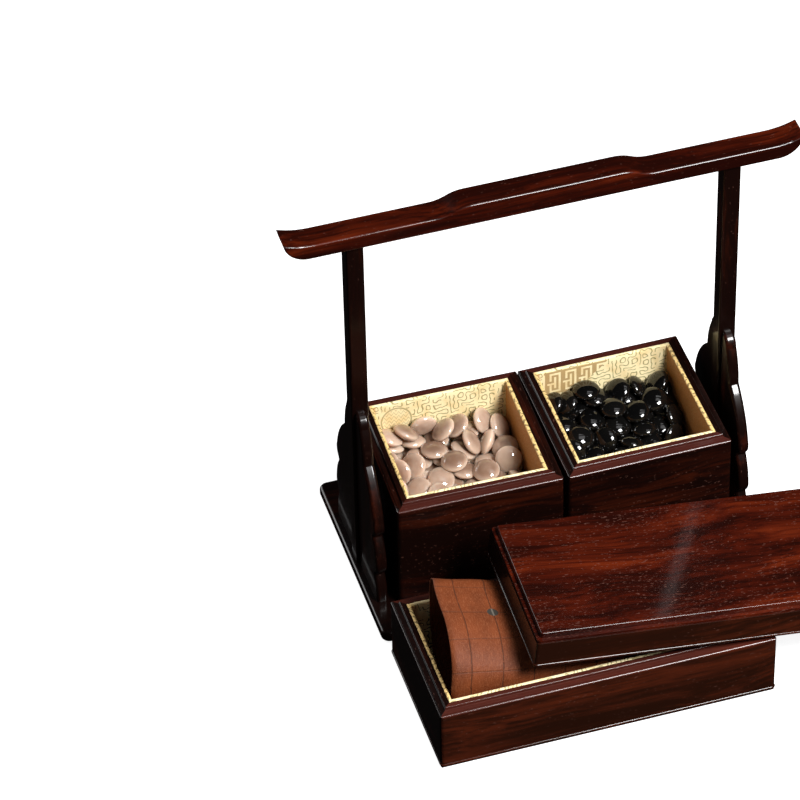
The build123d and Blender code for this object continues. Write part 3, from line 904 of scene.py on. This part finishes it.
def rolled_sheet(settings, material):
    """The folded leather rolled up: rows along X, each a spiral walked at the sheet's own pace.

    A row's spiral starts at the free outer edge under the roll and winds inwards, its inset
    growing with the turn. Points are spaced evenly by arc length, counted so that the same
    printed line lies at the same angle in every row. The sheet's left end runs askew, and that
    fades to the right. The second leaf lies inside the first, and a half circle joins them.
    """
    side = settings.board_side / MM
    leaf = side / 2
    across_count, along_count = 240, 44
    left, right = ROLL_ENDS
    share = np.linspace(0, 1, along_count)
    fold = np.linspace(0, math.pi, 7)[1:-1]
    thickness, gap, inner_shift, first_inset, winding = 1.1, 2.2, 1.6, 0.7, 3.6
    inner_left = left + inner_shift
    xs = np.concatenate([left + share * (right - left), right + gap / 2 * np.sin(fold)])
    xs = np.concatenate([xs, (inner_left + share * (right - inner_left))[::-1]])
    insets = [np.zeros(along_count), gap / 2 * (1 - np.cos(fold)), np.full(along_count, gap)]
    insets = np.concatenate(insets)
    vs = np.concatenate([share * leaf, np.full(len(fold), leaf), side - share[::-1] * leaf])
    length = np.linspace(0, side, across_count)
    turns = np.linspace(math.radians(-110), math.radians(760), 2600)
    fade_start, fade_reach, retreat_start = 45, 160, 1.3
    rows = []
    for x, inset in zip(xs, insets):
        wound = first_inset + inset + (turns - turns[0]) / (2 * math.pi) * winding
        fade = 1 - np.clip((x - left - fade_start) / fade_reach, 0, 1)
        drawn_in = SKEW * np.interp(np.degrees(turns) % 360, SKEW_ANGLES, SKEW_SHARES)
        drawn_in = (drawn_in + INNER_RETREAT * np.clip(turns / math.pi - retreat_start, 0, 1)) * fade
        y, z = roll_curve(x + drawn_in, wound, turns)
        run = np.concatenate([[0], np.cumsum(np.hypot(np.diff(y), np.diff(z)))])
        run += LINE_REACH - np.interp(LINE_ANGLE, turns, run)
        row = [np.interp(length, run, values) for values in (x + drawn_in, y, z)]
        rows.append(np.stack(row, 1))
    points = np.array(rows) * MM
    uv = np.stack(np.meshgrid(length * MM, vs * MM, indexing="xy"), -1)
    faces = grid_faces(len(xs), across_count)
    uvs = uv.reshape(-1, 2)[faces.ravel()]
    piece = mesh_piece("board_roll", points.reshape(-1, 3), [faces], uvs)
    thick = piece.modifiers.new("Thickness", "SOLIDIFY")
    thick.thickness, thick.offset = thickness * MM, 0.0
    finish_piece(piece, material, "board_roll", "leather", "leather_board_roll")


# ---------------------------------------------------------------- settings and operators


def length_setting(name, description, default):
    return FloatProperty(name=name, description=description, default=default, unit="LENGTH")


def count_setting(name, description, default):
    return IntProperty(name=name, description=description, default=default)


def colour_setting(name, description, default):
    return FloatVectorProperty(name=name, description=description, default=default, subtype="COLOR")


class CaseSettings(bpy.types.PropertyGroup):
    stone_diameter: length_setting("Stone Diameter", "Width of one stone", 0.022)
    stone_thickness: length_setting("Stone Thickness", "Height of one stone", 0.0105)
    white_stones: count_setting("White Stones", "How many white stones fall into the left box", 180)
    black_stones: count_setting("Black Stones", "How many black stones fall into the right box", 181)
    heap_seed: count_setting("Heap Seed", "Start of the random tilts of the falling stones", 7)
    board_side: length_setting("Board Side", "Length of the flat leather board's side", 0.5)
    line_pitch: length_setting("Line Pitch", "Distance between two printed lines", 0.026)
    silk_colour: colour_setting("Silk", "Ground of the brocade", (0.90, 0.78, 0.47))
    line_colour: colour_setting("Scroll Lines", "Lines of the brocade", (0.24, 0.21, 0.075))
    gold_colour: colour_setting("Gold Thread", "Gold of the brocade", (0.78, 0.54, 0.21))
    leather_dark: colour_setting("Leather Dark", "Its darker brown", (0.100, 0.0215, 0.0048))
    leather_light: colour_setting("Leather Light", "Its lighter brown", (0.160, 0.0365, 0.0092))
    leather_bloom: colour_setting("Leather Bloom", "Pale tips of its grain", (0.27, 0.092, 0.038))
    key_power: FloatProperty(
        name="Key Power", description="Power of the softbox beside the camera", default=56.0, unit="POWER"
    )
    camera_distance: length_setting("Camera Distance", "From the camera to the origin", 3.935617)


class CASE_OT_wood(bpy.types.Operator):
    """Gives every wooden piece its rosewood, with the grain along the piece"""

    bl_idname = "case.wood"
    bl_label = "Rosewood"

    def execute(self, context):
        woods = wood_materials()
        for name, piece in NODES.items():
            if piece.hide_render or name.endswith("lining") or "stone" in name or "leather" in name:
                continue
            piece.data.materials.clear()
            piece.data.materials.append(woods[wood_kind(name)])
        self.beads(woods)
        return {"FINISHED"}

    def beads(self, woods):
        """A bead round the foot of each box, of the tray and of the lid."""
        stands = (
            ("left_box", BOX_INNER, LEFT_BOX_TURN, "box_along"),
            ("right_box", BOX_INNER, RIGHT_BOX_TURN, "box_along"),
            ("tray", TRAY_INNER, 0.0, "tray_along"),
        )
        for name, inner, turn, kind in stands:
            place = place_of(f"{name}_wall_lining")
            place.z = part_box(f"{name}_front_wall")[0].z
            seat = Matrix.Translation(place) @ Matrix.Rotation(turn, 4, "Z")
            foot_bead(f"{name}_foot_bead", inner, BEAD_HEIGHT, seat, woods[kind], name)
        half = Vector((TRAY_INNER[0] / 2 + WALL, TRAY_INNER[1] / 2 + WALL, 0))
        seat = Matrix.Translation(LID_CORNER) @ Matrix.Rotation(LID_TILT, 4, "Y")
        seat = seat @ Matrix.Rotation(LID_TURN, 4, "Z") @ Matrix.Translation(half)
        foot_bead("lid_foot_bead", TRAY_INNER, LID_BEAD_HEIGHT, seat, woods["lid_rail"], "lid")


class CASE_OT_linings(bpy.types.Operator):
    """Pads the walls and floors of the boxes and the tray with brocade"""

    bl_idname = "case.linings"
    bl_label = "Brocade Linings"

    def execute(self, context):
        settings = context.scene.carrying_case
        group = brocade_group()
        # opening, turn, and where the large motif lies, how far it reaches and whether it is squared
        tiers = {
            "left_box": (BOX_INNER, LEFT_BOX_TURN, (0.322, 0.020), (0.014, 0.014), 0.0),
            "right_box": (BOX_INNER, RIGHT_BOX_TURN, (0.305, 0.0145), (0.031, 0.012), 1.0),
            "tray": (TRAY_INNER, 0.0, (0.41, 0.02), (0.012, 0.012), 0.0),
        }
        for name, (inner, turn, motif, reach, squared) in tiers.items():
            cloth = brocade_material(f"brocade_{name}", group, settings, motif, reach, squared)
            walls, floor = f"{name}_wall_lining", f"{name}_floor_lining"
            rim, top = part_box(walls)[1].z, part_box(floor)[1].z
            wall_pads(f"{name}_wall_pads", inner, place_of(walls), turn, rim, cloth, name, [walls])
            floor_pad(f"{name}_floor_pad", inner, place_of(floor), turn, top, cloth, name, [floor])
        return {"FINISHED"}


class CASE_OT_stones(bpy.types.Operator):
    """Fills the boxes with heaps of white and black stones"""

    bl_idname = "case.stones"
    bl_label = "Stones"

    def execute(self, context):
        settings = context.scene.carrying_case
        size = (settings.stone_diameter, settings.stone_thickness)
        pad = 2 * (LINING_DEPTH + LINING_SWELL + 0.2 * MM)
        opening = (BOX_INNER[0] - pad, BOX_INNER[1] - pad)
        white = stone_material("white_agate", *WHITE_AGATE, subsurface=0.6, coat=1.0)
        black = stone_material("black_agate", *BLACK_AGATE, subsurface=0.0, coat=0.1)
        heaps = [
            ("white", "left_box", LEFT_BOX_TURN, settings.white_stones, white),
            ("black", "right_box", RIGHT_BOX_TURN, settings.black_stones, black),
        ]
        for number, (colour, body, turn, count, material) in enumerate(heaps):
            transforms = settle(count, size, opening, settings.heap_seed + number)
            low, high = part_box(f"{body}_floor_lining")
            seat = (place_of(f"{body}_floor_lining"), turn, high.z - low.z)
            nodes = [f"{colour}_stones", f"{colour}_stone_bed"]
            heap_piece(f"{colour}_stone_heap", transforms, size, seat, material, body, nodes)
        return {"FINISHED"}


class CASE_OT_board(bpy.types.Operator):
    """Rolls the folded leather board up in the tray"""

    bl_idname = "case.board"
    bl_label = "Leather Board"

    def execute(self, context):
        settings = context.scene.carrying_case
        rolled_sheet(settings, leather_material(settings))
        return {"FINISHED"}


def add_softbox(name, azimuth, elevation, distance, size, power):
    """A square area light in that direction from the lit place, turned towards it."""
    light = bpy.data.lights.new(name, "AREA")
    light.shape, light.size, light.energy = "SQUARE", size, power
    lamp = bpy.data.objects.new(name, light)
    a, e = math.radians(azimuth), math.radians(elevation)
    away = Vector((math.sin(a) * math.cos(e), -math.cos(a) * math.cos(e), math.sin(e)))
    lamp.location = Vector(LIT_PLACE) + away * distance
    lamp.rotation_euler = away.to_track_quat("Z", "Y").to_euler()
    bpy.context.scene.collection.objects.link(lamp)


class CASE_OT_stage(bpy.types.Operator):
    """Adds the floor, the lights, the world and the camera"""

    bl_idname = "case.stage"
    bl_label = "Stage"

    def execute(self, context):
        settings = context.scene.carrying_case
        self.camera(context, settings)
        self.floor()
        self.world(context)
        context.scene.view_settings.view_transform = "Standard"
        for name, (*place, share) in SOFTBOXES.items():
            add_softbox(name, *place, settings.key_power * share)
        return {"FINISHED"}

    def camera(self, context, settings):
        """A long lens; its place is given across, above and back from the origin in its own axes."""
        yaw, pitch, roll = CAMERA_TURN
        level_share = math.cos(pitch)
        back = Vector((math.sin(yaw) * level_share, -math.cos(yaw) * level_share, math.sin(pitch)))
        level = Vector((math.cos(yaw), math.sin(yaw), 0))
        above = back.cross(level)
        right = level * math.cos(roll) + above * math.sin(roll)
        up = above * math.cos(roll) - level * math.sin(roll)
        data = bpy.data.cameras.new("photo_camera")
        data.sensor_fit, data.sensor_width, data.lens = "HORIZONTAL", 36.0, CAMERA_LENS
        data.clip_start, data.clip_end = 0.1, 50
        camera = bpy.data.objects.new("photo_camera", data)
        turn = Matrix((right, up, back)).transposed().to_4x4()
        spot = back * settings.camera_distance + right * CAMERA_ACROSS + up * CAMERA_ABOVE
        camera.matrix_world = Matrix.Translation(spot) @ turn
        context.scene.collection.objects.link(camera)
        context.scene.camera = camera

    def floor(self):
        """A wide pale floor that lights itself a little, so that shadows on it stay faint."""
        reach, below = 8.0, 0.2 * MM
        corners = np.array([(-1, -1, 0), (1, -1, 0), (1, 1, 0), (-1, 1, 0)]) * reach
        plane = mesh_piece("floor", corners - np.array([0, 0, below]), [np.array([[0, 1, 2, 3]])])
        material, n, shader = new_material("pale_floor")
        looks = {
            "Base Color": (0.6, 0.6, 0.6, 1),
            "Roughness": 0.9,
            "Specular IOR Level": 0.0,
            "Emission Color": (1, 1, 1, 1),
            "Emission Strength": 0.9,
        }
        n.fill(shader, looks)
        plane.data.materials.append(material)
        plane.visible_glossy = False
        plane.visible_diffuse = False

    def world(self, context):
        """White where the camera sees it, and dim where it lights the object."""
        world = bpy.data.worlds.new("studio")
        world.use_nodes = True
        context.scene.world = world
        n = Nodes(world.node_tree)
        background = world.node_tree.nodes["Background"]
        ray = n.add("ShaderNodeLightPath").outputs
        seen, mirrored = WORLD_SEEN - WORLD_LIGHT, WORLD_MIRRORED - WORLD_LIGHT
        strength = n.math("MULTIPLY_ADD", ray["Is Camera Ray"], seen, WORLD_LIGHT)
        strength = n.math("MULTIPLY_ADD", ray["Is Glossy Ray"], mirrored, strength)
        n.fill(background, {"Color": (1, 1, 1, 1), "Strength": strength})


class CASE_PT_panel(bpy.types.Panel):
    """Sizes, colours and steps of the carrying case"""

    bl_idname = "CASE_PT_panel"
    bl_label = "Carrying Case"
    bl_space_type = "VIEW_3D"
    bl_region_type = "UI"
    bl_category = "Carrying Case"

    def draw(self, context):
        settings = context.scene.carrying_case
        for name in settings.bl_rna.properties.keys():
            if name not in ("rna_type", "name"):
                self.layout.prop(settings, name)
        for operator in OPERATORS:
            self.layout.operator(operator.bl_idname)


OPERATORS = (CASE_OT_wood, CASE_OT_linings, CASE_OT_stones, CASE_OT_board, CASE_OT_stage)
CLASSES = (CaseSettings, *OPERATORS, CASE_PT_panel)


def register():
    for made in CLASSES:
        bpy.utils.register_class(made)
    bpy.types.Scene.carrying_case = PointerProperty(type=CaseSettings)


def unregister():
    del bpy.types.Scene.carrying_case
    for made in reversed(CLASSES):
        bpy.utils.unregister_class(made)


def main():
    """Runs every step in order."""
    register()
    bpy.ops.case.linings()
    bpy.ops.case.stones()
    bpy.ops.case.board()
    bpy.ops.case.wood()
    bpy.ops.case.stage()


if __name__ == "__main__":
    main()
